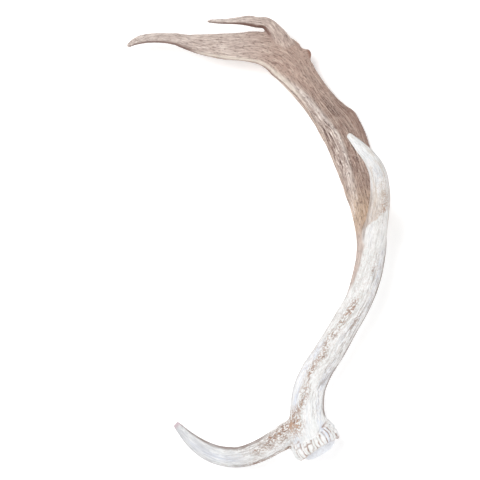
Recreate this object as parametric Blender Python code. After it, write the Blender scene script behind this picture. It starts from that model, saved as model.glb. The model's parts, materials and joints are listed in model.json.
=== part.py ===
"""A cast fallow deer antler, lying on its side on a flat surface.

Axes: +X towards the back of the antler, +Y from the burr to the palm, +Z up from the surface.
The origin is on the surface, under the middle of the antler's box.
The antler grew as one branching piece. It is split here at its main forks into the beam with its
burr, the brow tine, the tray tine, the palm with the stump of a broken point, and the two long
points (spellers) that the palm ends in.
"""

import math

import bmesh
import bpy
import numpy as np
from mathutils import Matrix, Vector

MM = 0.001
GAP = 0.3 * MM  # left between neighbours at every fork
RING_STEP = 9 * MM  # distance between the rings of a swept branch
STEM_SIDES = 20
TINE_SIDES = 14

# A branch is swept along its stations. Each station is, in millimetres and degrees:
# x, y, z of the centre, half width, half depth, roll, thinning.
# Roll turns the section so that its back edge drops. Thinning (0 to 1) takes that share off the
# depth at the back edge, which makes the round beam into a blade with a thick front edge.
STEM = [
    (65.5, -221.5, 28, 23, 22, 0, 0),
    (60, -208, 27, 22.8, 20, 0, 0),
    (57.3, -196, 26, 20.6, 18.5, 0, 0),
    (57, -185, 25.5, 19, 17.5, 0, 0),
    (59, -165, 26, 18, 16.5, 0, 0),
    (66, -146, 27.5, 17, 16, 0, 0),
    (80.5, -122.5, 30, 16.3, 15.5, 0, 0),
    (99.5, -89, 34, 15.5, 15, 0, 0),
    (112.5, -65.5, 37, 15.2, 15, 0, 0),
    (121, -41, 39.5, 15.7, 15, 0, 0),
    (126, -18, 40, 16, 15, 0, 0),
    (127.5, 3, 39, 16.5, 15, 3, 0),
    (124.5, 30.5, 32.5, 15.7, 14.5, 6, 0.15),
    (118.5, 60.5, 21.5, 18.5, 14, 10, 0.35),
    (111.5, 91, 12, 22.5, 13, 14, 0.55),
    (97.5, 125.5, 11.8, 24.9, 12, 16, 0.65),
    (76, 153.5, 14.5, 19.6, 11, 16, 0.6),
    (63, 170.5, 18, 18.5, 10, 14, 0.6),
    (52, 184, 21.5, 19.6, 9.5, 12, 0.55),
    (41, 198, 24.5, 22.8, 9, 10, 0.5),
    (28, 208.5, 28, 23.3, 9, 8, 0.4),
    (16, 213.5, 30.5, 20.6, 9, 6, 0.3),
    (5.5, 216, 32.5, 18.5, 9, 4, 0.2),
    (-4.5, 217, 34, 17.4, 8.7, 2, 0.1),
    (-15.5, 217, 35, 15.8, 8.5, 0, 0.1),
    (-38.5, 218, 35, 13.9, 8.5, 0, 0),
    (-62, 220, 35, 11, 8, 0, 0),
    (-78, 223, 34, 8.3, 7.2, 0, 0),
    (-89, 226, 33, 6.8, 6.3, 0, 0),
    (-107, 228, 30, 5.6, 5.5, 0, 0),
    (-124, 227.5, 27, 5.1, 5, 0, 0),
    (-135.5, 225, 24, 3.8, 3.5, 0, 0),
    (-144, 220, 22, 1.7, 1.5, 0, 0),
]
BROW_TINE = [
    (56, -207, 25, 17.5, 15, 0, 0),
    (40, -212.5, 24, 15.5, 13.5, 0, 0),
    (21, -223, 24.5, 13.4, 12, 0, 0),
    (2, -233, 25, 12.5, 11.5, 0, 0),
    (-18, -239.5, 23.5, 11.6, 11, 0, 0),
    (-38, -239, 20.5, 11, 10.3, 0, 0),
    (-55, -234, 16.5, 9.8, 9.3, 0, 0),
    (-69, -226, 12, 8.2, 8, 0, 0),
    (-80, -217, 7.5, 6.3, 6, 0, 0),
    (-91, -206, 2.7, 3.4, 3, 0, 0),
]
TRAY_TINE = [
    (126, -22, 41, 9, 9, 0, 0),
    (129, 5, 48, 13.2, 12, 0, 0),
    (132, 31, 61, 11.7, 11, 0, 0),
    (132.5, 55.5, 76, 10.5, 10.5, 0, 0),
    (127.5, 76, 90, 9.1, 9.5, 0, 0),
    (118, 90, 101, 7.3, 8, 0, 0),
    (106, 101.5, 109, 5.4, 6, 0, 0),
    (94.5, 112.5, 115, 2.7, 3, 0, 0),
]
UPPER_SPELLER = [
    (31, 216, 29, 14, 4, 0, 0),
    (22, 232, 31.5, 9.8, 6, 0, 0),
    (10, 244, 33, 6.6, 6, 0, 0),
    (1, 244.5, 34, 6, 5.5, 0, 0),
    (-7, 246, 35, 5.9, 5, 0, 0),
    (-18, 246, 36, 4.5, 4.5, 0, 0),
    (-35, 245, 37, 3, 3.2, 0, 0),
    (-49, 245, 38, 1.9, 2, 0, 0),
    (-54, 245, 38.5, 1.1, 1, 0, 0),
]
BROKEN_POINT = [
    (40, 204, 24.5, 11, 4, 0, 0),
    (54, 210, 21.5, 7.5, 4.2, 0, 0),
    (61.5, 213, 20.5, 5.6, 3.5, 0, 0),
]

BEAM_END = 0.256  # metres along the stem to the tray fork
PALM_END = 0.506  # metres along the stem to the fork between the two spellers

BURR_CENTRE = (66, -222, 28)
BURR_HEADING = 122  # degrees from +X, the way from the seat into the beam
BURR_RISE = -4  # degrees that this way points up
BURR_SIDES = 48
PEARL_HEIGHT = 1.4  # every second corner of the ring stands out by this much
RING_SPREAD = 0.9  # the ring is deeper at its two sides by this share than at its top and bottom
# Outline of the burr from the middle of the seat: radius and height along its axis, in mm.
# The middle of the domed seat is flat, and the ring of pearls starts at the fifth point.
BURR_OUTLINE = [
    (7, -15),
    (14, -14),
    (18.5, -11.5),
    (21, -6),
    (25, -4.5),
    (27, -2),
    (27, 2.5),
    (24.5, 6),
    (18, 9),
]
BURR_RING = slice(4, 8)


def smooth_path(stations):
    """A curve through the stations: its length, and a function from length to station values."""
    points = np.array(stations, float)
    knots = np.concatenate([[0], np.cumsum(np.linalg.norm(np.diff(points[:, :3], axis=0), axis=1))])
    slopes = np.gradient(points, knots, axis=0)

    def at(length):
        i = int(np.clip(np.searchsorted(knots, length) - 1, 0, len(knots) - 2))
        span = knots[i + 1] - knots[i]
        t = (length - knots[i]) / span
        return (
            (1 + 2 * t) * (1 - t) ** 2 * points[i]
            + t * (1 - t) ** 2 * span * slopes[i]
            + t * t * (3 - 2 * t) * points[i + 1]
            + t * t * (t - 1) * span * slopes[i + 1]
        )

    return knots[-1], at


def section(at, length, sides, grow):
    """The corners of a branch's section at a length along it, in metres."""
    values = at(length)
    tangent = Vector(at(length + 0.5)[:3] - at(length - 0.5)[:3]).normalized()
    side = tangent.cross(Vector((0, 0, 1))).normalized()
    up = side.cross(tangent)
    centre, roll, thinning = Vector(values[:3]) * MM, math.radians(values[5]), values[6]
    across = side * math.cos(roll) - up * math.sin(roll)
    along_depth = up * math.cos(roll) + side * math.sin(roll)
    half_width, half_depth = values[3] * MM + grow, values[4] * MM + grow
    corners = []
    for i in range(sides):
        turn = 2 * math.pi * i / sides
        back = min(max(math.cos(turn) + 0.3, 0), 1)
        depth = half_depth * (1 - thinning * back * back * (3 - 2 * back))
        corners.append(centre + across * (half_width * math.cos(turn)) + along_depth * (depth * math.sin(turn)))
    return corners


def closed_mesh(name, rings):
    """A closed mesh through rings of corners, each ring joined to the next, with filled ends."""
    made = bmesh.new()
    rows = [[made.verts.new(corner) for corner in ring] for ring in rings]
    sides = len(rows[0])
    for low, high in zip(rows, rows[1:]):
        for i in range(sides):
            j = (i + 1) % sides
            made.faces.new((low[i], low[j], high[j], high[i]))
    made.faces.new(rows[0])
    made.faces.new(rows[-1])
    bmesh.ops.recalc_face_normals(made, faces=made.faces)
    mesh = bpy.data.meshes.new(name)
    made.to_mesh(mesh)
    made.free()
    mesh.shade_smooth()
    mesh.set_sharp_from_angle(angle=math.radians(40))
    thing = bpy.data.objects.new(name, mesh)
    bpy.context.scene.collection.objects.link(thing)
    return thing


def branch(name, stations, sides, start=0.0, end=None, grow=0.0):
    """A branch swept through its stations, from start to end metres along it."""
    whole, at = smooth_path(stations)
    first = start / MM
    last = whole if end is None else end / MM
    steps = max(2, round((last - first) * MM / RING_STEP))
    lengths = np.linspace(first, last, steps + 1)
    return closed_mesh(name, [section(at, length, sides, grow) for length in lengths])


def burr_frame():
    """Places the burr's own axes (its axis is Z, from the seat into the beam) on the antler."""
    heading, rise = math.radians(BURR_HEADING), math.radians(BURR_RISE)
    axis = Vector((math.cos(heading) * math.cos(rise), math.sin(heading) * math.cos(rise), math.sin(rise)))
    return Matrix.Translation(Vector(BURR_CENTRE) * MM) @ axis.to_track_quat("Z", "Y").to_matrix().to_4x4()


def burr(name, grow=0.0):
    """The ring of pearls at the foot of the beam, and the seat that parted from the skull."""
    frame = burr_frame()
    heights = [height for _, height in BURR_OUTLINE]
    rings = []
    for k, (radius, height) in enumerate(BURR_OUTLINE):
        on_ring = k in range(*BURR_RING.indices(len(BURR_OUTLINE)))
        end = -grow if height == min(heights) else grow if height == max(heights) else 0
        ring = []
        for i in range(BURR_SIDES):
            turn = 2 * math.pi * i / BURR_SIDES
            out = (radius + (PEARL_HEIGHT if on_ring and i % 2 else 0)) * MM + grow
            spread = 1 + RING_SPREAD * math.cos(turn) ** 2 if k >= BURR_RING.start else 1
            along = height * spread * MM + end
            ring.append(frame @ Vector((out * math.cos(turn), out * math.sin(turn), along)))
        rings.append(ring)
    return closed_mesh(name, rings)


def combine(thing, operation, other):
    """Joins other to thing, or cuts it away. Other stays in the file as a hidden wire guide."""
    step = thing.modifiers.new(operation.lower(), "BOOLEAN")
    step.operation = operation
    step.solver = "EXACT"
    step.object = other
    other.hide_render = True
    other.display_type = "WIRE"


def finish(thing, colour, roughness):
    """Gives a piece its own material."""
    material = bpy.data.materials.new(thing.name)
    material.use_nodes = True
    shader = material.node_tree.nodes["Principled BSDF"]
    shader.inputs["Base Color"].default_value = (*colour, 1)
    shader.inputs["Roughness"].default_value = roughness
    shader.inputs["Metallic"].default_value = 0
    thing.data.materials.append(material)


BONE = (0.80, 0.77, 0.71)
IVORY = (0.86, 0.84, 0.79)
TAN = (0.38, 0.27, 0.21)
PALE_TAN = (0.56, 0.46, 0.40)


def make_beam():
    beam = branch("beam", STEM, STEM_SIDES, 0, BEAM_END)
    combine(beam, "UNION", burr("burr_shape"))
    finish(beam, BONE, 0.6)
    return beam


def make_palm():
    palm = branch("palm", STEM, STEM_SIDES, BEAM_END + GAP, PALM_END)
    combine(palm, "UNION", branch("broken_point_shape", BROKEN_POINT, TINE_SIDES))
    finish(palm, TAN, 0.6)
    return palm


def make_lead_speller():
    speller = branch("lead_speller", STEM, STEM_SIDES, PALM_END + GAP)
    finish(speller, PALE_TAN, 0.6)
    return speller


def make_tine(name, stations, colour, roughness, cutters):
    """A tine starts inside the stem and is cut back to the stem's surface, less the gap."""
    tine = branch(name, stations, TINE_SIDES)
    for cutter in cutters:
        combine(tine, "DIFFERENCE", cutter)
    finish(tine, colour, roughness)
    return tine


def stand_on_floor(pieces):
    """Moves everything so that the origin is on the surface, under the middle of the antler."""
    graph = bpy.context.evaluated_depsgraph_get()
    corners = [piece.matrix_world @ v.co for piece in pieces for v in piece.evaluated_get(graph).data.vertices]
    low = Vector(map(min, *corners))
    high = Vector(map(max, *corners))
    shift = Vector(((low.x + high.x) / 2, (low.y + high.y) / 2, low.z))
    for thing in bpy.context.scene.objects:
        thing.location -= shift


def main():
    for thing in list(bpy.data.objects):
        bpy.data.objects.remove(thing)
    grown_stem = branch("stem_clearance", STEM, STEM_SIDES, grow=GAP)
    grown_burr = burr("burr_clearance", grow=GAP)
    pieces = [
        make_beam(),
        make_palm(),
        make_lead_speller(),
        make_tine("brow_tine", BROW_TINE, BONE, 0.55, [grown_stem, grown_burr]),
        make_tine("tray_tine", TRAY_TINE, IVORY, 0.45, [grown_stem]),
        make_tine("upper_speller", UPPER_SPELLER, PALE_TAN, 0.6, [grown_stem]),
    ]
    stand_on_floor(pieces)


main()
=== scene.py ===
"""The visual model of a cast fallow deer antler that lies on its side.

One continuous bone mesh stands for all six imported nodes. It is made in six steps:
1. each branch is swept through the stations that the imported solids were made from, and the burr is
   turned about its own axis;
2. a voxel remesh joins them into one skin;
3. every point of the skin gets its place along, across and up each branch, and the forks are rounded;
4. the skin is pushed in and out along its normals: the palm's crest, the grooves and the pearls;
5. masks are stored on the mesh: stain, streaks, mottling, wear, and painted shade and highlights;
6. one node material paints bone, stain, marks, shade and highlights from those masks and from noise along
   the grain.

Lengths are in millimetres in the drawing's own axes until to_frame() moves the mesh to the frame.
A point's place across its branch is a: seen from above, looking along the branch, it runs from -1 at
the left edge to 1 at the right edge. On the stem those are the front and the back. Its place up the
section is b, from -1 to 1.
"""

import json
import math
from collections import namedtuple
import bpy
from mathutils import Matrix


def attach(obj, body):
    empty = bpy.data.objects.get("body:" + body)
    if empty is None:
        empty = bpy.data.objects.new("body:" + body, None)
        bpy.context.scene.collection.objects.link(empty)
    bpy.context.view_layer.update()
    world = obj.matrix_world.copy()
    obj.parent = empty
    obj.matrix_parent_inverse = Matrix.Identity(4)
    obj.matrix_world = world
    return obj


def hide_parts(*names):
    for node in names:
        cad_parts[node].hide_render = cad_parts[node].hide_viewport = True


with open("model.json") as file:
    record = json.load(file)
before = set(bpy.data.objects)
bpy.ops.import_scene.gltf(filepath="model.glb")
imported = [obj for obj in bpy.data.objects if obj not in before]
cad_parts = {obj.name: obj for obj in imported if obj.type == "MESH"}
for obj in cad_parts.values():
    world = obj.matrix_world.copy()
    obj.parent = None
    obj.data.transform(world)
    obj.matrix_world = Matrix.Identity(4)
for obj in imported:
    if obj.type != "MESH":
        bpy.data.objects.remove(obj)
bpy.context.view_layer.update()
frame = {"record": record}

from types import SimpleNamespace

import bmesh
import bpy
import numpy as np
from mathutils.bvhtree import BVHTree
from mathutils.kdtree import KDTree

MM = 0.001

# Stations of each branch: x, y, z of the centre, half width, half depth, and for the stem also
# the roll in degrees and the thinning of the back edge. They are the ones in the CAD source.
STEM = [
    (65.5, -221.5, 28, 23, 22, 0, 0),
    (60, -208, 27, 22.8, 20, 0, 0),
    (57.3, -196, 26, 20.6, 18.5, 0, 0),
    (57, -185, 25.5, 19, 17.5, 0, 0),
    (59, -165, 26, 18, 16.5, 0, 0),
    (66, -146, 27.5, 17, 16, 0, 0),
    (80.5, -122.5, 30, 16.3, 15.5, 0, 0),
    (99.5, -89, 34, 15.5, 15, 0, 0),
    (112.5, -65.5, 37, 15.2, 15, 0, 0),
    (121, -41, 39.5, 15.7, 15, 0, 0),
    (126, -18, 40, 16, 15, 0, 0),
    (127.5, 3, 39, 16.5, 15, 3, 0),
    (124.5, 30.5, 32.5, 15.7, 14.5, 6, 0.15),
    (118.5, 60.5, 21.5, 18.5, 14, 10, 0.35),
    (111.5, 91, 12, 22.5, 13, 14, 0.55),
    (97.5, 125.5, 11.8, 24.9, 12, 16, 0.65),
    (76, 153.5, 14.5, 19.6, 11, 16, 0.6),
    (63, 170.5, 18, 18.5, 10, 14, 0.6),
    (52, 184, 21.5, 19.6, 9.5, 12, 0.55),
    (41, 198, 24.5, 22.8, 9, 10, 0.5),
    (28, 208.5, 28, 23.3, 9, 8, 0.4),
    (16, 213.5, 30.5, 20.6, 9, 6, 0.3),
    (5.5, 216, 32.5, 18.5, 9, 4, 0.2),
    (-4.5, 217, 34, 17.4, 8.7, 2, 0.1),
    (-15.5, 217, 35, 15.8, 8.5, 0, 0.1),
    (-38.5, 218, 35, 13.9, 8.5, 0, 0),
    (-62, 220, 35, 11, 8, 0, 0),
    (-78, 223, 34, 8.3, 7.2, 0, 0),
    (-89, 226, 33, 6.8, 6.3, 0, 0),
    (-107, 228, 30, 5.6, 5.5, 0, 0),
    (-124, 227.5, 27, 5.1, 5, 0, 0),
    (-135.5, 225, 24, 3.8, 3.5, 0, 0),
    (-144, 220, 22, 1.7, 1.5, 0, 0),
]
BROW_TINE = [
    (56, -207, 25, 17.5, 15),
    (40, -212.5, 24, 15.5, 13.5),
    (21, -223, 24.5, 13.4, 12),
    (2, -233, 25, 12.5, 11.5),
    (-18, -239.5, 23.5, 11.6, 11),
    (-38, -239, 20.5, 11, 10.3),
    (-55, -234, 16.5, 9.8, 9.3),
    (-69, -226, 12, 8.2, 8),
    (-80, -217, 7.5, 6.3, 6),
    (-91, -206, 2.7, 3.4, 3),
]
TRAY_TINE = [
    (126, -22, 41, 9, 9),
    (129, 5, 48, 13.2, 12),
    (132, 31, 61, 11.7, 11),
    (132.5, 55.5, 76, 10.5, 10.5),
    (127.5, 76, 90, 9.1, 9.5),
    (118, 90, 101, 7.3, 8),
    (106, 101.5, 109, 5.4, 6),
    (94.5, 112.5, 115, 2.7, 3),
]
UPPER_SPELLER = [
    (31, 216, 29, 14, 4),
    (22, 232, 31.5, 9.8, 6),
    (10, 244, 33, 6.6, 6),
    (1, 244.5, 34, 6, 5.5),
    (-7, 246, 35, 5.9, 5),
    (-18, 246, 36, 4.5, 4.5),
    (-35, 245, 37, 3, 3.2),
    (-49, 245, 38, 1.9, 2),
    (-54, 245, 38.5, 1.1, 1),
]
BROKEN_POINT = [
    (40, 204, 24.5, 11, 4),
    (54, 210, 21.5, 7.5, 4.2),
    (61.5, 213, 20.5, 5.6, 3.5),
]

# The burr: its centre, the heading and rise of its axis (from the seat into the beam), and the
# outline that is turned about it, as radius and height above the centre. From the fifth point on,
# the heights grow by a share at the burr's two sides.
BURR_CENTRE = np.array((66.0, -222.0, 28.0))
BURR_HEADING = math.radians(122)
BURR_RISE = math.radians(-4)
BURR_OUTLINE = [
    (7, -15), (14, -14), (18.5, -11.5), (21, -6), (25, -4.5), (27, -2), (27, 2.5), (24.5, 6), (18, 9),
]
RING_START = 4
RING_SPREAD = 0.9
BURR_SIDES = 120

BACK_START = 0.3  # how far in front of a section's middle the thinning of its back begins

# For each tine: how wide its blend into the stem is, how far out and in how many rounds its fork is
# relaxed, and how wide its flutes are.
Tine = namedtuple("Tine", "blend fork rounds flutes")
TINES = {
    "brow": Tine(6, 9.0, 60, 5.0),
    "tray": Tine(1.5, 3.0, 6, 6.0),
    "upper": Tine(3, 3.0, 10, 2.6),
    "stub": Tine(2, 6.0, 30, 3.0),
}

SAMPLE_STEP = 0.5
ROW_STEP = 3  # samples from one ring of a branch's skin to the next
SKIN_SIDES = 72
VOXEL = 1.25
FAIRING_ROUNDS = 6
FAIRING_IN = 0.5
FAIRING_OUT = 0.52  # a little more than in, which keeps the volume
FORK_SHARE = 0.6
FINE_HEIGHT = 12  # the mesh is halved below this height above the burr's centre,
FINE_RADIUS = 34  # and inside this radius

# The grain's lines keep their spacing where a branch's half width is this, and fan out where it is
# wider.
STEM_GRAIN = 16.0
TINE_GRAIN = 12.0
NARROWEST_FAN = 8
TINE_OFFSET = 400  # keeps the patterns on the tines apart

# The burr's ring: its pearls, its knobs at the sides, and the groove at its foot.
PEARLS = 36
SPLIT_CHANCE = 0.68  # pearls with a chance above this are split in two
STRIPE_HEIGHT = 2.0
STRIPE_SINK = 0.9
KNOB_HEIGHT = 1.9
FOOT_DEPTH = 0.7
RING_SPAN = (-5.6, -4.0, 6.5, 8.5)  # the heights where the pearls start, are full, fade and end

# The palm's crest: where it runs across the stem at each length, its height, how far it reaches
# behind and in front of its line, and the trough behind it, as its middle and its width.
CREST_LENGTHS = (225, 240, 265, 290, 317, 345, 373, 400, 430, 450, 480, 520, 560)
CREST_ACROSS = (-1.1, -0.95, -0.75, -0.72, -0.65, -0.55, -0.47, -0.6, -0.7, -0.82, -0.95, -1.0, -1.0)
CREST_HEIGHT = 3.0
CREST_WIDTHS = (3.0, 5.5)
TROUGH = (9, 6)
TROUGH_DEPTH = 2.0
PALM_CORNER = (383, 6)  # the corner on the palm's back edge: its length along the stem and its width
CORNER_HEIGHT = 1.8

# Stretches along the stem: the lengths where each one starts, is full, starts to fade and ends.
BEAM_SPAN = (18, 35, 225, 262)
CREST_SPAN = (236, 285, 455, 520)
WALL_SPAN = (226, 262, 440, 500)
PALM_SPAN = (262, 300, 395, 440)
CREAM_SPAN = (415, 450, 560, 590)
WARM_FOOT = (270, 24)  # the tan foot of the palm: its middle and its width

# Where the middle of the beam's mottling runs, and where the stain's edge runs.
MOTTLE_LENGTHS = (20, 38, 50, 63, 80, 97, 112, 126, 139, 150, 165, 185)
MOTTLE_ACROSS = (-0.7, -0.55, -0.33, -0.3, -0.5, -0.33, -0.45, -0.5, -0.3, -0.35, -0.3, -0.25)
TAN_LENGTHS = (160, 181, 198, 220, 242, 254, 262, 290)
TAN_EDGE = (-1.1, -0.9, -0.8, -0.7, -0.5, -0.3, 0.3, 1.6)

# The slanting line on the tray tine's foot where the beam's white ends: a point on it and its slope.
TRAY_EDGE_AT = (122, 19.5)
TRAY_EDGE_SLOPE = 0.86

# The masks, three to an attribute of the mesh.
STORED_MASKS = {
    "stain": ("tan", "dark", "light"),
    "tints": ("warm", "cream", "red"),
    "marks": ("mottle", "groove", "wall"),
    "ends": ("seat", "pink", "stub"),
    "lines": ("lines", "rim", "crease"),
    "patches": ("patches", "lavender", "grey"),
    "forks": ("tine", "brow", "tray"),
}

# The bone's colours, as they are seen on a screen.
COLOURS = {
    "white": (244, 246, 245),
    # the bluish white of a painted cool reflection
    "lavender": (231, 237, 249),
    "ivory": (232, 217, 200),
    # painted shade on the brow tine's outer half
    "grey": (206, 208, 214),
    # painted highlights along the grain
    "grain_highlight": (255, 255, 255),
    "grey_line": (174, 168, 166),
    "crack": (186, 172, 163),
    "beam_brown_pale": (204, 166, 140),
    "beam_brown_deep": (166, 130, 110),
    "brow_brown_pale": (182, 142, 114),
    "brow_brown_deep": (142, 106, 88),
    "wash": (214, 192, 178),
    "speckle": (140, 98, 78),
    # dirt and painted shade along the edges of the beam and tines
    "rim": (134, 114, 106),
    "stain": (190, 162, 149),
    # the palm's dark stain together with painted shade
    "stain_dark_and_shade": (157, 129, 118),
    # paler stain together with the painted highlight on the crest
    "stain_light_and_highlight": (220, 206, 199),
    # painted shade on the palm's front wall
    "wall_shade": (150, 124, 114),
    "stain_warm": (217, 188, 157),
    "streak": (222, 199, 184),
    "streak_light": (250, 240, 232),
    "deep_streak": (88, 64, 58),
    "fibre": (110, 84, 76),
    "grit": (214, 194, 180),
    "vein": (228, 210, 196),
    "cream": (244, 232, 218),
    # red-brown stain together with painted shade on the points' edges
    "red": (112, 74, 62),
    # painted shade in the fork of the tray tine and the palm
    "crease": (116, 92, 80),
    "groove": (150, 106, 82),
    # bone white with the bluish tint of a painted cool reflection
    "seat": (243, 246, 252),
    "seat_grey": (222, 221, 226),
    "pink": (205, 178, 186),
    "stub": (160, 120, 104),
}
DRY_ROUGHNESS = 0.58
WORN_ROUGHNESS = 0.4

# The patterns along the grain: their size along, across and up, then their noise's detail, roughness
# and distortion.
GRAIN_NOISES = {
    "streak": ((14, 1.8, 1.8), 3, 0.6, 0.3),
    "fine": ((15, 1.3, 1.3), 3, 0.55, 0.3),
    "fibre": ((5, 1.5, 1.5), 2, 0.6),
    "worm": ((4.4, 2.7, 2.7), 3, 0.6, 0.4),
    "speck": ((3.4, 2.3, 2.3), 1, 0.5),
    "vein": ((26, 9, 9), 1, 0.5, 0.8),
}

# The studio, in metres and watts.
CAMERA_AT = (-0.0175, 0.0029, 1.3002)
CAMERA_LENS = 85.6
LAMPS = {"key": ((-0.75, 0.55, 1.5), 20.5), "fill": ((0.8, -0.9, 0.8), 6.5)}
LAMP_WIDTH = 1.0
SKY_STRENGTH = 0.43
FLOOR_REACH = 3.0
FLOOR_GLOW = 0.28


def unit(vectors):
    """The vectors, each made 1 long."""
    return vectors / np.linalg.norm(vectors, axis=-1, keepdims=True)


def rise(value, low, high):
    """0 below low, 1 above high, and a smooth step between them."""
    t = np.clip((value - low) / (high - low), 0.0, 1.0)
    return t * t * (3 - 2 * t)


def span(value, start, full, fading, end):
    """1 from full to fading, 0 before start and past end, with smooth steps between."""
    return rise(value, start, full) * (1 - rise(value, fading, end))


def bump(value, centre, width):
    """1 at the centre, fading to nothing a few widths away."""
    return np.exp(-(((value - centre) / width) ** 2))


# Large odd numbers that scatter the noise's cells, the slopes that they pick from, how far apart the
# patterns of two seeds are, and the gain that brings the noise to between about -1 and 1.
CELL_KEYS = np.array((73856093, 19349663, 83492791))
KEY_MIX = 1274126177
SLOPES = unit(np.random.default_rng(7).normal(size=(1024, 3)))
SEED_SHIFT = 31.7
NOISE_GAIN = 1.7


def noise(points, size, seed):
    """Smooth noise between about -1 and 1, with bumps of the given size (one number or three).

    Each seed gives another pattern.
    """
    places = points / np.asarray(size, float) + SEED_SHIFT * seed
    cells = np.floor(places).astype(np.int64)
    inside = places - cells
    fade = inside**3 * (inside * (inside * 6 - 15) + 10)
    total = np.zeros(len(points))
    for corner in np.ndindex(2, 2, 2):
        keys = (cells + corner) * CELL_KEYS
        key = keys[:, 0] ^ keys[:, 1] ^ keys[:, 2]
        key = (key ^ (key >> 13)) * KEY_MIX
        slopes = SLOPES[(key ^ (key >> 16)) & (len(SLOPES) - 1)]
        weight = np.prod(np.where(corner, fade, 1 - fade), axis=1)
        total += weight * ((inside - corner) * slopes).sum(axis=1)
    return total * NOISE_GAIN


class Place:
    """Where points lie on a branch: along it, and across and up its section."""

    def __init__(self, length, u, v, half_width, half_depth):
        self.length = length
        self.u, self.v = u, v
        self.half_width = half_width
        self.a, self.b = u / half_width, v / half_depth


class Branch:
    """A branch of the antler, sampled every half millimetre along its length."""

    def __init__(self, stations):
        table = np.array(stations, float)
        points = np.zeros((len(table), 7))
        points[:, : table.shape[1]] = table
        steps = np.linalg.norm(np.diff(points[:, :3], axis=0), axis=1)
        knots = np.concatenate(([0.0], np.cumsum(steps)))
        slopes = np.gradient(points, knots, axis=0)
        self.lengths = np.append(np.arange(0.0, knots[-1], SAMPLE_STEP), knots[-1])
        i = np.clip(np.searchsorted(knots, self.lengths) - 1, 0, len(knots) - 2)
        gap = (knots[i + 1] - knots[i])[:, None]
        t = (self.lengths - knots[i])[:, None] / gap
        values = (
            (1 + 2 * t) * (1 - t) ** 2 * points[i]
            + t * (1 - t) ** 2 * gap * slopes[i]
            + t * t * (3 - 2 * t) * points[i + 1]
            + t * t * (t - 1) * gap * slopes[i + 1]
        )
        self.centre = values[:, :3]
        self.half_width, self.half_depth, roll, self.thinning = values[:, 3:].T
        self.tangent = unit(np.gradient(self.centre, self.lengths, axis=0))
        side = unit(np.cross(self.tangent, (0, 0, 1)))
        up = np.cross(side, self.tangent)
        turn = np.radians(roll)[:, None]
        self.across = side * np.cos(turn) - up * np.sin(turn)
        self.along_depth = up * np.cos(turn) + side * np.sin(turn)

    def skin(self):
        """The corners and faces of the branch's surface, closed at both ends."""
        rows = np.append(np.arange(0, len(self.lengths) - 1, ROW_STEP), len(self.lengths) - 1)
        turn = np.linspace(0, 2 * math.pi, SKIN_SIDES, endpoint=False)
        back = np.cos(turn) + BACK_START
        thin = 1 - self.thinning[rows, None] * rise(back, 0, 1)
        wide = self.half_width[rows, None] * np.cos(turn)
        deep = self.half_depth[rows, None] * thin * np.sin(turn)
        corners = (
            self.centre[rows, None]
            + self.across[rows, None] * wide[..., None]
            + self.along_depth[rows, None] * deep[..., None]
        )
        return corners.reshape(-1, 3), tube_faces(len(rows), SKIN_SIDES)

    def locate(self, points):
        """Each point's place on the branch."""
        tree = KDTree(len(self.centre))
        for i, place in enumerate(self.centre):
            tree.insert(place, i)
        tree.balance()
        nearest = np.array([tree.find(point)[1] for point in points])
        offset = points - self.centre[nearest]
        length = self.lengths[nearest] + (offset * self.tangent[nearest]).sum(axis=1)
        u = (offset * self.across[nearest]).sum(axis=1)
        v = (offset * self.along_depth[nearest]).sum(axis=1)
        return Place(length, u, v, self.half_width[nearest], self.half_depth[nearest])


def tube_faces(rows, sides):
    """The faces of a tube of rings, ring after ring, with a face over each end."""
    faces = []
    for row in range(rows - 1):
        for i in range(sides):
            j = (i + 1) % sides
            low, high = row * sides, (row + 1) * sides
            faces.append((low + i, low + j, high + j, high + i))
    faces.append(tuple(range(sides))[::-1])
    faces.append(tuple(range((rows - 1) * sides, rows * sides)))
    return faces


def burr_axes():
    """The burr's axis, from the seat into the beam, and two directions square to it."""
    axis = np.array(
        (
            math.cos(BURR_HEADING) * math.cos(BURR_RISE),
            math.sin(BURR_HEADING) * math.cos(BURR_RISE),
            math.sin(BURR_RISE),
        )
    )
    level = unit(np.cross(axis, (0, 0, 1)))
    return axis, level, np.cross(level, axis)


def ring_spread(turn):
    """How much deeper than its outline the burr's ring is, this way round from its side."""
    return 1 + RING_SPREAD * np.cos(turn) ** 2


def burr_skin():
    """The corners and faces of the ring of the burr with its seat, before its pearls."""
    axis, level, upward = burr_axes()
    corners = []
    for k, (radius, height) in enumerate(BURR_OUTLINE):
        for i in range(BURR_SIDES):
            turn = 2 * math.pi * i / BURR_SIDES
            spread = ring_spread(turn) if k >= RING_START else 1
            out = level * (radius * math.cos(turn)) + upward * (radius * math.sin(turn))
            corners.append(BURR_CENTRE + axis * height * spread + out)
    return np.array(corners), tube_faces(len(BURR_OUTLINE), BURR_SIDES)


def joined(skins):
    """Several skins as one list of corners and one of faces."""
    corners, faces, first = [], [], 0
    for points, sides in skins:
        corners.append(points)
        faces += [tuple(first + i for i in side) for side in sides]
        first += len(points)
    return np.concatenate(corners), faces


def remeshed(corners, faces):
    """The skins melted into one even mesh."""
    mesh = bpy.data.meshes.new("rough")
    mesh.from_pydata((corners * MM).tolist(), [], faces)
    rough = bpy.data.objects.new("rough", mesh)
    bpy.context.scene.collection.objects.link(rough)
    melt = rough.modifiers.new("melt", "REMESH")
    melt.mode = "VOXEL"
    melt.voxel_size = VOXEL * MM
    graph = bpy.context.evaluated_depsgraph_get()
    result = bpy.data.meshes.new_from_object(rough.evaluated_get(graph))
    bpy.data.objects.remove(rough)
    bpy.data.meshes.remove(mesh)
    return result


def read_points(mesh):
    """The mesh's points, in millimetres."""
    flat = np.empty(len(mesh.vertices) * 3)
    mesh.vertices.foreach_get("co", flat)
    return flat.reshape(-1, 3) / MM


def read_edges(mesh):
    """The two ends of each of the mesh's edges."""
    flat = np.empty(len(mesh.edges) * 2, dtype=np.int64)
    mesh.edges.foreach_get("vertices", flat)
    return flat.reshape(-1, 2)


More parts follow.
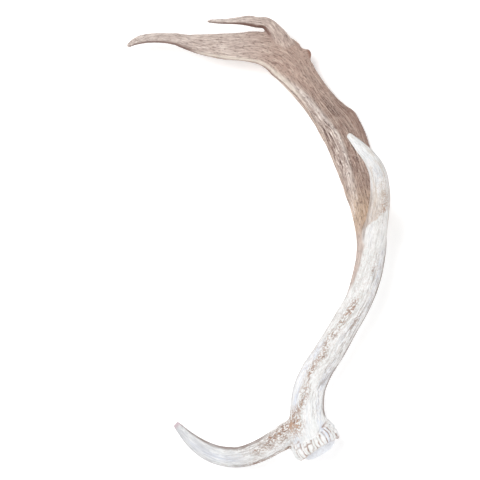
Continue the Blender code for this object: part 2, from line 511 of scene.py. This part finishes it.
def neighbour_mean(values, edges):
    """For each point, the mean of the values at the other ends of its edges."""
    count = np.bincount(edges.ravel(), minlength=len(values))
    means = np.empty_like(values)
    for axis in range(values.shape[1]):
        column = values[:, axis]
        total = np.bincount(edges[:, 0], column[edges[:, 1]], len(values))
        total += np.bincount(edges[:, 1], column[edges[:, 0]], len(values))
        means[:, axis] = total / count
    return means


def relaxed(points, edges, share, rounds):
    """The points moved towards their neighbours by their share, a number of times."""
    for _ in range(rounds):
        points = points + share * (neighbour_mean(points, edges) - points)
    return points


def faired(points, edges, rounds):
    """The points with the mesh's small steps smoothed out, and their volume kept."""
    for _ in range(rounds):
        points = relaxed(points, edges, FAIRING_IN, 1)
        points = relaxed(points, edges, -FAIRING_OUT, 1)
    return points


def distances(points, skin):
    """How far each point is from a skin."""
    tree = BVHTree.FromPolygons(skin[0].tolist(), skin[1])
    return np.array([tree.find_nearest(point)[3] for point in points.tolist()])


def subdivide_burr(mesh):
    """Halves the mesh size around the burr, where the pearls need it."""
    axis, _, _ = burr_axes()
    work = bmesh.new()
    work.from_mesh(mesh)
    chosen = []
    for edge in work.edges:
        middle = np.array((edge.verts[0].co + edge.verts[1].co) / 2) / MM
        height = (middle - BURR_CENTRE) @ axis
        radius = np.linalg.norm(middle - BURR_CENTRE - axis * height)
        if height < FINE_HEIGHT and radius < FINE_RADIUS:
            chosen.append(edge)
    bmesh.ops.subdivide_edges(work, edges=chosen, cuts=1, use_grid_fill=True, smooth=0.0)
    work.to_mesh(mesh)
    work.free()


def normals_of(mesh):
    """The mesh's normals at its points."""
    flat = np.empty(len(mesh.vertices) * 3, dtype=np.float32)
    mesh.vertex_normals.foreach_get("vector", flat)
    return flat.reshape(-1, 3).astype(float)


class Skin:
    """The antler's skin: its points and where each one lies on every branch."""

    def __init__(self, mesh, branches, skins):
        self.mesh = mesh
        self.points = read_points(mesh)
        self.edges = read_edges(mesh)
        self.gap = {name: distances(self.points, skins[name]) for name in skins}
        self.place = {name: branches[name].locate(self.points) for name in branches}
        self.weight = {
            name: rise(self.gap["stem"] - self.gap[name], -tine.blend, tine.blend)
            for name, tine in TINES.items()
        }
        self.on_burr = 1 - rise(self.gap["burr"], 1.0, 3.0)
        self.grain = {
            name: grain(self.place[name], STEM_GRAIN if name == "stem" else TINE_GRAIN) for name in branches
        }

    def along_grain(self, sizes, seed):
        """Noise that runs with the grain of whichever branch a point is on."""
        total = noise(self.grain["stem"], sizes, seed)
        for name, weight in self.weight.items():
            total += weight * (noise(self.grain[name], sizes, seed + 40) - total)
        return total

    def write(self):
        """Puts the points back in the mesh."""
        self.mesh.vertices.foreach_set("co", (self.points * MM).ravel())
        self.mesh.update()


def grain(place, reference):
    """Coordinates with the grain: along the branch, and across and up it, fanned with its width."""
    fan = (reference / np.maximum(place.half_width, NARROWEST_FAN)) ** 0.7
    return np.stack((place.length, place.u * fan, place.v * fan), axis=1)


def rounded_forks(skin):
    """The skin's points with the creases at the forks relaxed."""
    points = skin.points
    for name, tine in TINES.items():
        off = np.maximum(skin.gap["stem"], skin.gap[name])
        share = FORK_SHARE * (1 - rise(off, tine.fork * 0.4, tine.fork))[:, None]
        points = relaxed(points, skin.edges, share, tine.rounds)
    return points


def burr_place(points):
    """Each point's angle, radius and height in the burr's own axes."""
    axis, level, upward = burr_axes()
    offset = points - BURR_CENTRE
    height = offset @ axis
    x, y = offset @ level, offset @ upward
    return np.arctan2(y, x), np.hypot(x, y), height


def chance_of(number):
    """A number between 0 and 1 for each whole number, with no visible order."""
    swing = np.sin(number * 12.9898) * 43758.5453
    return swing - np.floor(swing)


def pearl_stripes(points, turn, height):
    """The pearls along the ring's middle: how far they stand out, and where the gaps are (0 to 1)."""
    circle = np.stack((np.cos(turn), np.sin(turn), height * 0.02), axis=1)
    warped = turn + 0.07 * noise(circle, 0.35, 1) + 0.045 * noise(circle, 0.13, 2) + height * 0.006
    count = warped * PEARLS / (2 * math.pi)
    between = np.abs(count % 1 - 0.5) * 2
    chance = chance_of(np.floor(count))
    round_pearl = np.sqrt(np.clip(1 - between**2.2, 0, 1))
    split = bump(height, 1.5 + 5 * (chance - 0.5), 0.6) * (chance > SPLIT_CHANCE)
    tall = 0.6 + 0.8 * chance + 0.35 * noise(points, 3.6, 3)
    stripes = STRIPE_HEIGHT * round_pearl * tall * (1 - 0.7 * split) - STRIPE_SINK
    return stripes, np.maximum(rise(between, 0.56, 0.88), 0.9 * split)


def pearls(skin):
    """The height of the burr's pearls at each point, and how deep in the grooves it lies (0 to 1)."""
    points = skin.points
    turn, radius, height = burr_place(points)
    height = height / ring_spread(turn)
    ring = rise(radius, 21.5, 24) * span(height, *RING_SPAN) * skin.on_burr
    stripes, gaps = pearl_stripes(points, turn, height)
    knobs = KNOB_HEIGHT * noise(points, 4.6, 15) + 0.9 * noise(points, 2.4, 16) + 0.4
    side = rise(np.abs(np.cos(turn)), 0.78, 0.93)
    groove = gaps * (1 - side) + side * rise(-knobs, -0.1, 0.7)
    groove = np.maximum(groove, 0.8 * bump(height, -4.4, 0.8))
    dirt = 0.45 + 0.55 * rise(noise(points, 7, 17), -0.3, 0.3)
    foot = rise(radius, 20, 22) * bump(height, 8.0, 0.9) * skin.on_burr
    groove = ring * groove * dirt + foot * rise(noise(points, 8, 18), -0.1, 0.25)
    return ring * (stripes * (1 - side) + knobs * side) - FOOT_DEPTH * foot, groove


def tine_flutes(skin):
    """The shallow flutes along the tines, between about -1 and 1."""
    total = np.zeros(len(skin.points))
    for name, tine in TINES.items():
        total += skin.weight[name] * noise(skin.grain[name], (50, tine.flutes, tine.flutes), 9)
    return total


def relief(skin):
    """How far each point of the skin moves out along its normal, and the masks that go with it."""
    stem, stem_grain = skin.place["stem"], skin.grain["stem"]
    on_stem = 1 - np.maximum.reduce(list(skin.weight.values()))

    crest_at = np.interp(stem.length, CREST_LENGTHS, CREST_ACROSS) * stem.half_width
    crest_on = span(stem.length, *CREST_SPAN) * on_stem * rise(np.abs(stem.b), 0.05, 0.45)
    behind = stem.u - crest_at + 1.2 * noise(stem_grain, (40, 9, 9), 4)
    crest = crest_on * bump(behind, 0, np.where(behind > 0, *CREST_WIDTHS))
    trough = crest_on * bump(behind, *TROUGH)

    flutes = noise(stem_grain, (60, 4.4, 4.4), 5)
    fine_flutes = noise(stem_grain, (26, 2.2, 2.2), 6)
    wall = span(stem.length, *WALL_SPAN) * on_stem * rise(-behind, -1, 3)
    palm = rise(stem.length, 255, 300) * on_stem
    corner = on_stem * bump(stem.length, *PALM_CORNER) * rise(stem.a, 0.7, 1.0)

    pearl_height, groove = pearls(skin)
    push = (
        CREST_HEIGHT * crest
        - TROUGH_DEPTH * trough
        + on_stem * (0.30 * flutes + 0.16 * fine_flutes)
        + wall * (0.6 * fine_flutes + 0.5 * flutes)
        + palm * 0.25 * fine_flutes
        + 0.18 * tine_flutes(skin)
        + 0.35 * noise(skin.points, 26, 8)
        + CORNER_HEIGHT * corner
        + pearl_height
    )
    made = {"crest": crest, "crest_on": crest_on, "from_crest": behind, "wall": wall, "groove": groove}
    return push, made


def past_tray_edge(skin):
    """1 on the tray tine's foot past the slanting line where the beam's white ends, 0 before it."""
    x, y = (skin.points[:, :2] - TRAY_EDGE_AT).T
    past = y - TRAY_EDGE_SLOPE * x + 1.2 * noise(skin.points, 5, 19)
    return rise(past, -0.9, 0.9)


def tan_mask(skin):
    """Where the bone is stained: on the palm and its points, and faintly on the tray tine; the strip down
    the beam's front edge is partly painted shade.
    """
    stem, tray, weight = skin.place["stem"], skin.place["tray"], skin.weight
    wobble = (0.06 + 0.3 * rise(stem.a, 0.2, 0.8)) * skin.along_grain((20, 5, 5), 13)
    # Below the palm the tan runs down the beam's front edge as a strip: partly stain, partly painted shade.
    edge = np.interp(stem.length, TAN_LENGTHS, TAN_EDGE)
    soft = 0.08 + 0.6 * rise(stem.a, 0.2, 0.8)
    tan = (1 - rise(stem.a + wobble, edge - soft, edge + soft)) * rise(stem.length, 168, 195)
    tan *= 0.75 + 0.25 * rise(stem.length, 236, 258)

    across = tray.a + 0.2 * noise(skin.points, 9, 13)
    on_tray = 0.33 * past_tray_edge(skin) * (1 - rise(tray.length, 60, 105))
    on_tray *= 1 - 0.8 * rise(across, -0.2, 0.4)
    on_tray += 0.3 * rise(across, 0.7, 0.95) * bump(tray.length, 75, 35)
    on_tray += 0.08 * (1 - rise(tray.length, 100, 150))
    tan = tan * (1 - weight["tray"]) + on_tray * weight["tray"]
    return np.maximum(tan * (1 - weight["brow"]), np.maximum(weight["upper"], weight["stub"]))


def red_mask(skin, on_stem, on_palm):
    """Where the bone is red-brown: on the long points' edges nearest the burr and the palm's back, partly
    stain and partly painted shade.
    """
    stem, upper = skin.place["stem"], skin.place["upper"]
    upper_edge = skin.weight["upper"] * rise(-upper.a, 0.45, 0.75)
    lead_edge = 0.9 * rise(stem.length, 570, 590) * rise(-stem.a, 0.55, 0.85) * on_stem
    back_edge = on_palm * (0.4 * rise(stem.a, 0.3, 0.8) + 0.15 * rise(stem.a, 0.8, 0.95))
    front_edge = 0.8 * rise(stem.length, 440, 470) * rise(-stem.a, 0.96, 1.0) * on_stem
    return np.maximum.reduce([upper_edge, lead_edge, back_edge, front_edge])


def stain_masks(skin, made):
    """Where the bone is stained, and where it is dark, light, warm, cream or red, with painted shade and
    highlights among them.
    """
    stem = skin.place["stem"]
    length = stem.length
    on_stem = 1 - skin.weight["upper"] - skin.weight["stub"]
    on_palm = span(length, *PALM_SPAN) * on_stem
    from_front, from_crest = stem.u + stem.half_width, made["from_crest"]
    # Dark behind the crest and on the front wall: partly the palm's brown stain, partly painted shade on
    # slopes facing away from the light.
    dark = on_palm * (0.8 * bump(from_crest, 11, 8) + 0.35 * rise(from_crest, 8, 16))
    dark += on_palm * (1.2 * bump(from_front, 4.5, 2.2) + 0.4) * (from_crest < -2)
    # A painted highlight on the crest and the band in front of it; the stain is also paler towards the tips
    # and on the upper speller.
    beside_crest = 0.75 * made["crest_on"] * bump(from_crest, -5, 5) * rise(length, 300, 320)
    light = np.maximum(made["crest"], beside_crest)
    light += 0.6 * rise(length, 480, 550) + 0.3 * rise(length, 560, 640) + 0.35 * skin.weight["upper"]
    cream = span(length, *CREAM_SPAN) * bump(stem.a, -0.89, 0.07)
    cream = np.maximum(cream, 0.4 * on_palm * bump(from_front, 0.5, 0.5)) * on_stem
    off_fork = np.maximum(skin.gap["stem"], skin.gap["tray"])
    return {
        "tan": tan_mask(skin),
        "dark": dark + 0.15 * noise(skin.points, 34, 12),
        "light": light,
        "warm": 0.75 * bump(length, *WARM_FOOT),
        "cream": cream,
        "red": red_mask(skin, on_stem, on_palm),
        # painted shade in the crease where the tray tine leaves the palm
        "crease": (1 - rise(off_fork, 0.6, 2.8)) * rise(length, 244, 258),
    }


def mottle_mask(skin, patches):
    """Where brown stain is left in the worm-like channels of the bleached bone."""
    stem, brow, tray = skin.place["stem"], skin.place["brow"], skin.place["tray"]
    length, weight = stem.length, skin.weight
    main_band = bump(stem.a, np.interp(length, MOTTLE_LENGTHS, MOTTLE_ACROSS), 0.29)
    main_band *= span(length, 24, 40, 160, 195)
    second_band = 0.75 * bump(stem.a, 0.4, 0.16) * span(length, 95, 115, 170, 185)
    third_band = 0.6 * bump(stem.a, 0.2, 0.12) * bump(length, 210, 22)
    band = np.maximum.reduce([main_band, second_band, third_band])
    band *= 0.35 + 0.5 * rise(patches, -0.25, 0.45)
    root = 0.95 * bump(length, 26, 12) * bump(stem.a, -0.72, 0.42)
    faint = 0.18 * rise(length, 60, 90)
    on_beam = np.maximum.reduce([band, root, faint]) * (0.3 + 0.7 * rise(stem.v, -4, 3))

    dense = 1.2 * bump(brow.a, 0.6, 0.32) * (1 - rise(brow.length, 34, 52))
    net = 0.6 * bump(brow.a, 0.3, 0.6) * (1 - rise(brow.length, 52, 84))
    low_edge = 0.75 * bump(brow.a, -0.8, 0.16) * (1 - rise(brow.length, 66, 96))
    pale = 0.2 * (1 - rise(brow.length, 60, 110))
    on_brow = np.maximum.reduce([dense, net, low_edge, pale])
    on_brow *= (0.7 + 0.45 * rise(patches, -0.3, 0.3)) * rise(brow.v, -8, 2)

    on_tray = 0.22 + 0.45 * bump(tray.a, 0.35, 0.35) * bump(tray.length, 66, 26)
    on_tray *= (1 - rise(tray.length, 90, 150)) * (0.3 + 0.7 * past_tray_edge(skin))
    mottle = on_beam * (1 - weight["brow"]) + on_brow * weight["brow"]
    return mottle * (1 - weight["tray"]) + on_tray * weight["tray"]


def line_masks(skin):
    """Where grey lines run along the grain, and where the edges are darkened by dirt and painted shade."""
    stem, brow, tray = skin.place["stem"], skin.place["brow"], skin.place["tray"]
    weight = skin.weight
    beam = span(stem.length, *BEAM_SPAN) * (1 - weight["tray"]) * (1 - weight["brow"])
    on_brow = rise(brow.length, 10, 30) * (0.3 + 0.7 * rise(np.abs(brow.a), 0.4, 0.8))
    on_brow *= 1 - 0.6 * rise(brow.length, 90, 120)
    lines = beam * (0.25 + 0.75 * rise(stem.a, 0.0, 0.45)) + weight["brow"] * on_brow + 0.3 * weight["tray"]

    # The dark line along the edges is partly dirt and partly painted shade; this noise breaks it up along
    # the grain.
    rim_breakup = np.clip(0.75 + 0.8 * skin.along_grain((14, 3, 3), 20), 0, 1)
    beam_rim = 1.2 * rise(stem.a, 0.83, 0.93) + 0.45 * rise(-stem.a, 0.9, 0.97)
    beam_rim *= beam * rim_breakup * rise(stem.b, -0.15, 0.05)
    brow_rim = rise(brow.a, 0.78, 0.91) + 0.7 * rise(-brow.a, 0.84, 0.95)
    brow_rim *= rise(brow.length, 32, 55) * rise(brow.b, -0.25, 0.0)
    tray_rim = 0.8 * rise(-tray.a, 0.8, 0.92) * span(tray.length, 20, 32, 75, 100)
    tray_rim += 0.4 * rise(tray.a, 0.84, 0.94) * bump(tray.length, 70, 40)
    tray_rim *= rise(tray.b, -0.4, 0.0)
    return lines, beam_rim + weight["brow"] * brow_rim + weight["tray"] * tray_rim


def cool_reflection_mask(skin):
    """Where a painted cool reflection makes the bleached bone bluish white: in long bands along the beam
    and the tines.
    """
    stem, brow, tray = skin.place["stem"], skin.place["brow"], skin.place["tray"]
    weight = skin.weight
    bands = 0.9 * bump(stem.a, -0.78, 0.16) * span(stem.length, 25, 45, 100, 130)
    bands += 0.9 * bump(stem.a, 0.6, 0.2) * (1 - rise(stem.length, 85, 120))
    bands += 0.8 * bump(stem.a, 0.62, 0.12) * bump(stem.length, 200, 50)
    bands += 0.8 * bump(stem.length, 12, 9) * bump(stem.a, -0.75, 0.35)
    on_brow = bump(brow.a, -0.1, 0.35) * span(brow.length, 70, 90, 130, 150)
    bands = bands * (1 - weight["brow"]) + on_brow * weight["brow"]
    bands *= 1 - weight["tray"]
    bands += 0.3 * weight["tray"] * bump(tray.a, -0.35, 0.3) * rise(tray.length, 50, 70)
    return np.clip(bands + 0.35 * skin.along_grain((50, 7, 7), 14), 0, 1)


def all_masks(skin, made):
    """Every mask that the material reads, by its name."""
    brow, stub, weight = skin.place["brow"], skin.place["stub"], skin.weight
    lines, rim = line_masks(skin)
    _, radius, height = burr_place(skin.points)
    patches = noise(skin.points, 14, 11)
    masks = stain_masks(skin, made)
    masks.update(
        mottle=mottle_mask(skin, patches),
        groove=made["groove"],
        wall=made["wall"],
        seat=rise(-height, 4.5, 5.5) * (1 - rise(radius, 21.5, 23)) * skin.on_burr,
        pink=weight["brow"] * rise(brow.length, 160, 166),
        stub=weight["stub"] * rise(stub.length, 18, 22),
        lines=lines,
        rim=rim,
        patches=0.5 + 0.5 * patches,
        lavender=cool_reflection_mask(skin),
        # Painted shade greys the brow tine's outer half.
        grey=weight["brow"] * rise(brow.length, 50, 85) * (0.7 + 0.5 * noise(skin.points, 12, 21)),
        tine=sum(weight.values()),
        brow=weight["brow"],
        tray=weight["tray"] * past_tray_edge(skin),
    )
    return {name: np.clip(mask, 0, 1) for name, mask in masks.items()}


def store(mesh, name, columns):
    """Stores three numbers per point on the mesh."""
    data = mesh.attributes.new(name, "FLOAT_VECTOR", "POINT")
    data.data.foreach_set("vector", np.stack(columns, axis=1).astype(np.float32).ravel())


def store_masks(skin, masks):
    """Stores the masks, three to an attribute."""
    for attribute, names in STORED_MASKS.items():
        store(skin.mesh, attribute, [masks[name] for name in names])


def store_grain(skin):
    """Stores the grain's coordinates on the stem, and those on the tines."""
    store(skin.mesh, "stem_grain", skin.grain["stem"].T)
    total = np.zeros((len(skin.points), 3))
    share = np.full(len(skin.points), 1e-6)
    for offset, name in enumerate(TINES):
        weight = skin.weight[name]
        total += weight[:, None] * (skin.grain[name] + TINE_OFFSET * (offset + 1))
        share += weight
    store(skin.mesh, "tine_grain", (total / share[:, None]).T)


def to_frame(skin):
    """Moves the mesh from the drawing's axes to the frame, by the mount on the burr's seat."""
    axis, _, _ = burr_axes()
    drawn = BURR_CENTRE + axis * BURR_OUTLINE[0][1]
    mount = next(m for m in frame["record"]["mounts"] if m["name"] == "pedicle_seat")
    skin.points = skin.points + (np.array(mount["pos_m"]) / MM - drawn)


def make_antler():
    """The antler's mesh, shaped and with its masks."""
    branches = {
        "stem": Branch(STEM),
        "brow": Branch(BROW_TINE),
        "tray": Branch(TRAY_TINE),
        "upper": Branch(UPPER_SPELLER),
        "stub": Branch(BROKEN_POINT),
    }
    skins = {name: branch.skin() for name, branch in branches.items()}
    skins["burr"] = burr_skin()
    mesh = remeshed(*joined(skins.values()))
    subdivide_burr(mesh)
    points = faired(read_points(mesh), read_edges(mesh), FAIRING_ROUNDS)
    mesh.vertices.foreach_set("co", (points * MM).ravel())
    skin = Skin(mesh, branches, skins)
    skin.points = rounded_forks(skin)
    skin.write()
    push, made = relief(skin)
    skin.points = skin.points + normals_of(mesh) * push[:, None]
    store_masks(skin, all_masks(skin, made))
    store_grain(skin)
    to_frame(skin)
    skin.write()
    mesh.name = "antler"
    mesh.shade_smooth()
    antler = bpy.data.objects.new("antler", mesh)
    bpy.context.scene.collection.objects.link(antler)
    return antler


class Graph:
    """Short calls that add nodes to a material."""

    def __init__(self, material):
        self.tree = material.node_tree

    def add(self, kind, inputs=None, **settings):
        """Adds a node, with its settings and with its inputs linked or set."""
        node = self.tree.nodes.new(kind)
        for name, value in settings.items():
            setattr(node, name, value)
        for key, value in (inputs or {}).items():
            self.feed(node.inputs[key], value)
        return node

    def feed(self, socket, value):
        """Links another node's output to the socket, or sets the socket's value."""
        if isinstance(value, bpy.types.NodeSocket):
            self.tree.links.new(value, socket)
        else:
            socket.default_value = value

    def vector(self, name):
        """The three numbers stored under a name, as a vector."""
        return self.add("ShaderNodeAttribute", attribute_name=name).outputs["Vector"]

    def masks(self):
        """Every stored mask, by its name."""
        found = SimpleNamespace()
        for attribute, names in STORED_MASKS.items():
            parts = self.add("ShaderNodeSeparateXYZ", {"Vector": self.vector(attribute)})
            for name, axis in zip(names, "XYZ"):
                setattr(found, name, parts.outputs[axis])
        return found

    def math(self, operation, first, second=0.0, clamp=False):
        """The result of a Math node."""
        inputs = {0: first, 1: second}
        return self.add("ShaderNodeMath", inputs, operation=operation, use_clamp=clamp).outputs[0]

    def times(self, first, second, clamp=False):
        """The product of two numbers."""
        return self.math("MULTIPLY", first, second, clamp)

    def off_middle(self, value):
        """How far a noise is from its middle: 0 along its contour lines."""
        return self.math("ABSOLUTE", self.math("SUBTRACT", value, 0.5))

    def step(self, value, low, high, start=0.0, end=1.0):
        """Start below low and end above high, with a smooth step between."""
        inputs = {"Value": value, "From Min": low, "From Max": high, "To Min": start, "To Max": end}
        return self.add("ShaderNodeMapRange", inputs, interpolation_type="SMOOTHSTEP").outputs["Result"]

    def noise(self, vector, sizes, detail=2.0, roughness=0.5, distortion=0.0):
        """Noise between 0 and 1, with bumps of the given size along each axis."""
        scale = tuple(1 / size for size in sizes)
        scaled = self.add("ShaderNodeVectorMath", {0: vector, 1: scale}, operation="MULTIPLY")
        inputs = {
            "Vector": scaled.outputs[0],
            "Scale": 1.0,
            "Detail": detail,
            "Roughness": roughness,
            "Distortion": distortion,
        }
        return self.add("ShaderNodeTexNoise", inputs).outputs["Fac"]

    def mix(self, share, first, second):
        """A share of the way from the first colour to the second."""
        return self.add("ShaderNodeMix", {0: share, 6: first, 7: second}, data_type="RGBA").outputs[2]

    def between(self, share, first, second):
        """A share of the way from the first number to the second."""
        return self.add("ShaderNodeMix", {0: share, 2: first, 3: second}, data_type="FLOAT").outputs[0]


def colour(name):
    """One of the bone's colours, turned from the screen's 0 to 255 into the light that it stands for."""
    channels = [value / 255 for value in COLOURS[name]]
    return (*[c / 12.92 if c < 0.04 else ((c + 0.055) / 1.055) ** 2.4 for c in channels], 1)


def grain_noises(graph, vector):
    """The patterns that follow the grain."""
    return {name: graph.noise(vector, *settings) for name, settings in GRAIN_NOISES.items()}


def grain_patterns(graph, tine):
    """The patterns on whichever branch a point is on: those of the stem, or those of its tine."""
    on_stem = grain_noises(graph, graph.vector("stem_grain"))
    on_tine = grain_noises(graph, graph.vector("tine_grain"))
    return SimpleNamespace(**{name: graph.between(tine, on_stem[name], on_tine[name]) for name in on_stem})


def channels_of(graph, mask, worm_line):
    """Where the brown channels of the mottling are: wider and stronger where there is more of it."""
    widths = {"Value": mask.mottle, "To Min": 0.02, "To Max": 0.085}
    reach = graph.add("ShaderNodeMapRange", widths).outputs["Result"]
    channel = graph.step(graph.math("DIVIDE", worm_line, reach), 0.45, 1.1, 1.0, 0.0)
    return graph.times(channel, graph.times(mask.mottle, 1.5, clamp=True))


def bleached_bone(graph, mask, pattern, channel):
    """The colour of the bleached bone: grey lines, mottling, edges dark with dirt and painted shade,
    painted highlights and reflections.
    """
    # A painted cool reflection tints the white bone bluish in long bands.
    bone = graph.mix(mask.lavender, colour("white"), colour("lavender"))
    ivory = graph.times(graph.step(pattern.vein, 0.44, 0.64, 0.0, 0.5), mask.tray)
    bone = graph.mix(ivory, bone, colour("ivory"))
    # Painted shade greys the brow tine's outer half and dims the painted highlights there.
    bone = graph.mix(graph.times(mask.grey, 0.8), bone, colour("grey"))
    # Painted highlights: pure white on the streaks along the grain.
    grain_highlight = graph.step(pattern.streak, 0.45, 0.57, 0.0, 0.9)
    grain_highlight = graph.times(grain_highlight, graph.between(mask.grey, 1.0, 0.35))
    bone = graph.mix(grain_highlight, bone, colour("grain_highlight"))

    line = graph.times(graph.step(pattern.streak, 0.37, 0.47, 1.0, 0.0), mask.lines)
    bone = graph.mix(graph.times(line, 0.75), bone, colour("grey_line"))
    crack = graph.step(graph.off_middle(pattern.fine), 0.008, 0.035, 0.45, 0.0)
    crack = graph.times(crack, graph.math("ADD", mask.lines, 0.3))
    bone = graph.mix(crack, bone, colour("crack"))

    beam_brown = graph.mix(mask.patches, colour("beam_brown_pale"), colour("beam_brown_deep"))
    brow_brown = graph.mix(mask.patches, colour("brow_brown_pale"), colour("brow_brown_deep"))
    wash = graph.times(mask.mottle, graph.between(mask.brow, 0.12, 0.3))
    bone = graph.mix(wash, bone, colour("wash"))
    bone = graph.mix(graph.times(channel, 0.9), bone, graph.mix(mask.brow, beam_brown, brow_brown))
    speckle = graph.times(graph.step(pattern.speck, 0.58, 0.7), mask.mottle)
    bone = graph.mix(graph.times(speckle, 0.75), bone, colour("speckle"))
    # Dirt and painted shade darken the edges, broken up along the grain.
    broken_rim = graph.times(mask.rim, graph.step(pattern.fine, 0.4, 0.6, 1.0, 0.6))
    return graph.mix(broken_rim, bone, colour("rim"))


def stained_bone(graph, mask, pattern, worm_line):
    """The colour of the stained bone, with its pale and dark streaks, its veins, and its painted shade and
    highlights.
    """
    # The dark mask is partly stain and partly painted shade.
    stain = graph.mix(mask.dark, colour("stain"), colour("stain_dark_and_shade"))
    # The light mask is a painted highlight on the crest and paler stain towards the tips.
    stain = graph.mix(mask.light, stain, colour("stain_light_and_highlight"))
    # Painted shade darkens the palm's front wall.
    stain = graph.mix(graph.times(mask.wall, 0.45), stain, colour("wall_shade"))
    stain = graph.mix(mask.warm, stain, colour("stain_warm"))

    pale = graph.mix(mask.light, colour("streak"), colour("streak_light"))
    plain = graph.step(pattern.fine, 0.5, 0.68, 0.0, 0.9)
    strong = graph.step(pattern.fine, 0.51, 0.6, 0.0, 1.0)
    on_crest = graph.math("MAXIMUM", mask.wall, mask.light)
    stain = graph.mix(graph.between(on_crest, plain, strong), stain, pale)
    low = graph.step(pattern.fine, 0.34, 0.46, 1.0, 0.0)
    deep = graph.between(graph.math("MAXIMUM", mask.wall, mask.dark), 0.42, 1.0)
    stain = graph.mix(graph.times(low, deep), stain, colour("deep_streak"))
    stain = graph.mix(graph.step(pattern.fibre, 0.34, 0.5, 0.6, 0.0), stain, colour("fibre"))
    grit = graph.times(graph.step(worm_line, 0.01, 0.05, 1.0, 0.0), 0.35)
    stain = graph.mix(grit, stain, colour("grit"))
    vein = graph.step(graph.off_middle(pattern.vein), 0.004, 0.016, 0.3, 0.0)
    stain = graph.mix(vein, stain, colour("vein"))

    stain = graph.mix(graph.times(mask.cream, 0.8), stain, colour("cream"))
    # Red-brown on the edges and the palm's back: partly stain, partly painted shade.
    stain = graph.mix(graph.times(mask.red, 0.85), stain, colour("red"))
    # Painted shade darkens the fork between the tray tine and the palm.
    return graph.mix(graph.times(mask.crease, 0.75), stain, colour("crease"))


def with_ends(graph, base, mask, worm):
    """The base colour with the burr's grooves and seat, the brow tine's tip and the broken stump."""
    base = graph.mix(graph.times(mask.groove, 0.8), base, colour("groove"))
    # The seat's white carries the bluish tint of a painted cool reflection.
    seat = graph.mix(graph.step(worm, 0.4, 0.62, 0.0, 0.5), colour("seat"), colour("seat_grey"))
    base = graph.mix(mask.seat, base, seat)
    base = graph.mix(graph.times(mask.pink, 0.7), base, colour("pink"))
    return graph.mix(mask.stub, base, colour("stub"))


def bone_material():
    """Bleached bone, stained mauve-brown towards the palm, with its streaks and mottling, and painted shade
    and highlights.
    """
    material = bpy.data.materials.new("antler_bone")
    material.use_nodes = True
    graph = Graph(material)
    shader = material.node_tree.nodes["Principled BSDF"]
    mask = graph.masks()
    pattern = grain_patterns(graph, mask.tine)
    worm_line = graph.off_middle(pattern.worm)
    channel = channels_of(graph, mask, worm_line)
    bleached = bleached_bone(graph, mask, pattern, channel)
    stained = stained_bone(graph, mask, pattern, worm_line)
    base = with_ends(graph, graph.mix(mask.tan, bleached, stained), mask, pattern.worm)

    height = graph.math("ADD", graph.times(pattern.streak, 0.9), graph.times(pattern.fibre, 0.35))
    height = graph.math("SUBTRACT", height, graph.times(channel, 0.35))
    bumps = graph.add("ShaderNodeBump", {"Height": height, "Strength": 0.85, "Distance": 0.002})
    graph.feed(shader.inputs["Base Color"], base)
    graph.feed(shader.inputs["Roughness"], graph.between(mask.tray, DRY_ROUGHNESS, WORN_ROUGHNESS))
    graph.feed(shader.inputs["Normal"], bumps.outputs["Normal"])
    shader.inputs["Specular IOR Level"].default_value = 0.4
    return material


def make_floor():
    """A plain white floor under the antler, which glows a little so that it stays pale."""
    corners = [(x * FLOOR_REACH, y * FLOOR_REACH, 0) for x, y in ((-1, -1), (1, -1), (1, 1), (-1, 1))]
    mesh = bpy.data.meshes.new("floor")
    mesh.from_pydata(corners, [], [(0, 1, 2, 3)])
    floor = bpy.data.objects.new("floor", mesh)
    bpy.context.scene.collection.objects.link(floor)
    material = bpy.data.materials.new("floor_white")
    material.use_nodes = True
    shader = material.node_tree.nodes["Principled BSDF"]
    shader.inputs["Base Color"].default_value = (0.95, 0.95, 0.95, 1)
    shader.inputs["Roughness"].default_value = 0.9
    shader.inputs["Emission Color"].default_value = (1, 1, 1, 1)
    shader.inputs["Emission Strength"].default_value = FLOOR_GLOW
    mesh.materials.append(material)


def make_light():
    """Soft studio light: a pale sky all round, a key from the upper left and a low fill across from it."""
    world = bpy.data.worlds.new("studio")
    world.use_nodes = True
    back = world.node_tree.nodes["Background"]
    back.inputs["Color"].default_value = (1, 0.99, 0.98, 1)
    back.inputs["Strength"].default_value = SKY_STRENGTH
    bpy.context.scene.world = world
    for name, (location, energy) in LAMPS.items():
        make_lamp(name, location, energy)


def make_lamp(name, location, energy):
    """A wide round lamp that shines at the middle of the floor."""
    data = bpy.data.lights.new(name, "AREA")
    data.shape = "DISK"
    data.size = LAMP_WIDTH
    data.energy = energy
    lamp = bpy.data.objects.new(name, data)
    lamp.location = location
    lamp.rotation_euler = (-lamp.location).to_track_quat("-Z", "Y").to_euler()
    bpy.context.scene.collection.objects.link(lamp)


def make_camera():
    """Looks straight down on the antler from high above it."""
    data = bpy.data.cameras.new("camera")
    data.lens = CAMERA_LENS
    data.clip_end = 20
    camera = bpy.data.objects.new("camera", data)
    camera.location = CAMERA_AT
    bpy.context.scene.collection.objects.link(camera)
    bpy.context.scene.camera = camera


def main():
    """Makes the camera, the light, the floor and the antler."""
    make_camera()
    make_light()
    make_floor()
    bpy.context.scene.view_settings.view_transform = "Standard"
    antler = make_antler()
    antler.data.materials.append(bone_material())
    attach(antler, "root")
    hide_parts("beam", "brow_tine", "tray_tine", "palm", "lead_speller", "upper_speller")


main()
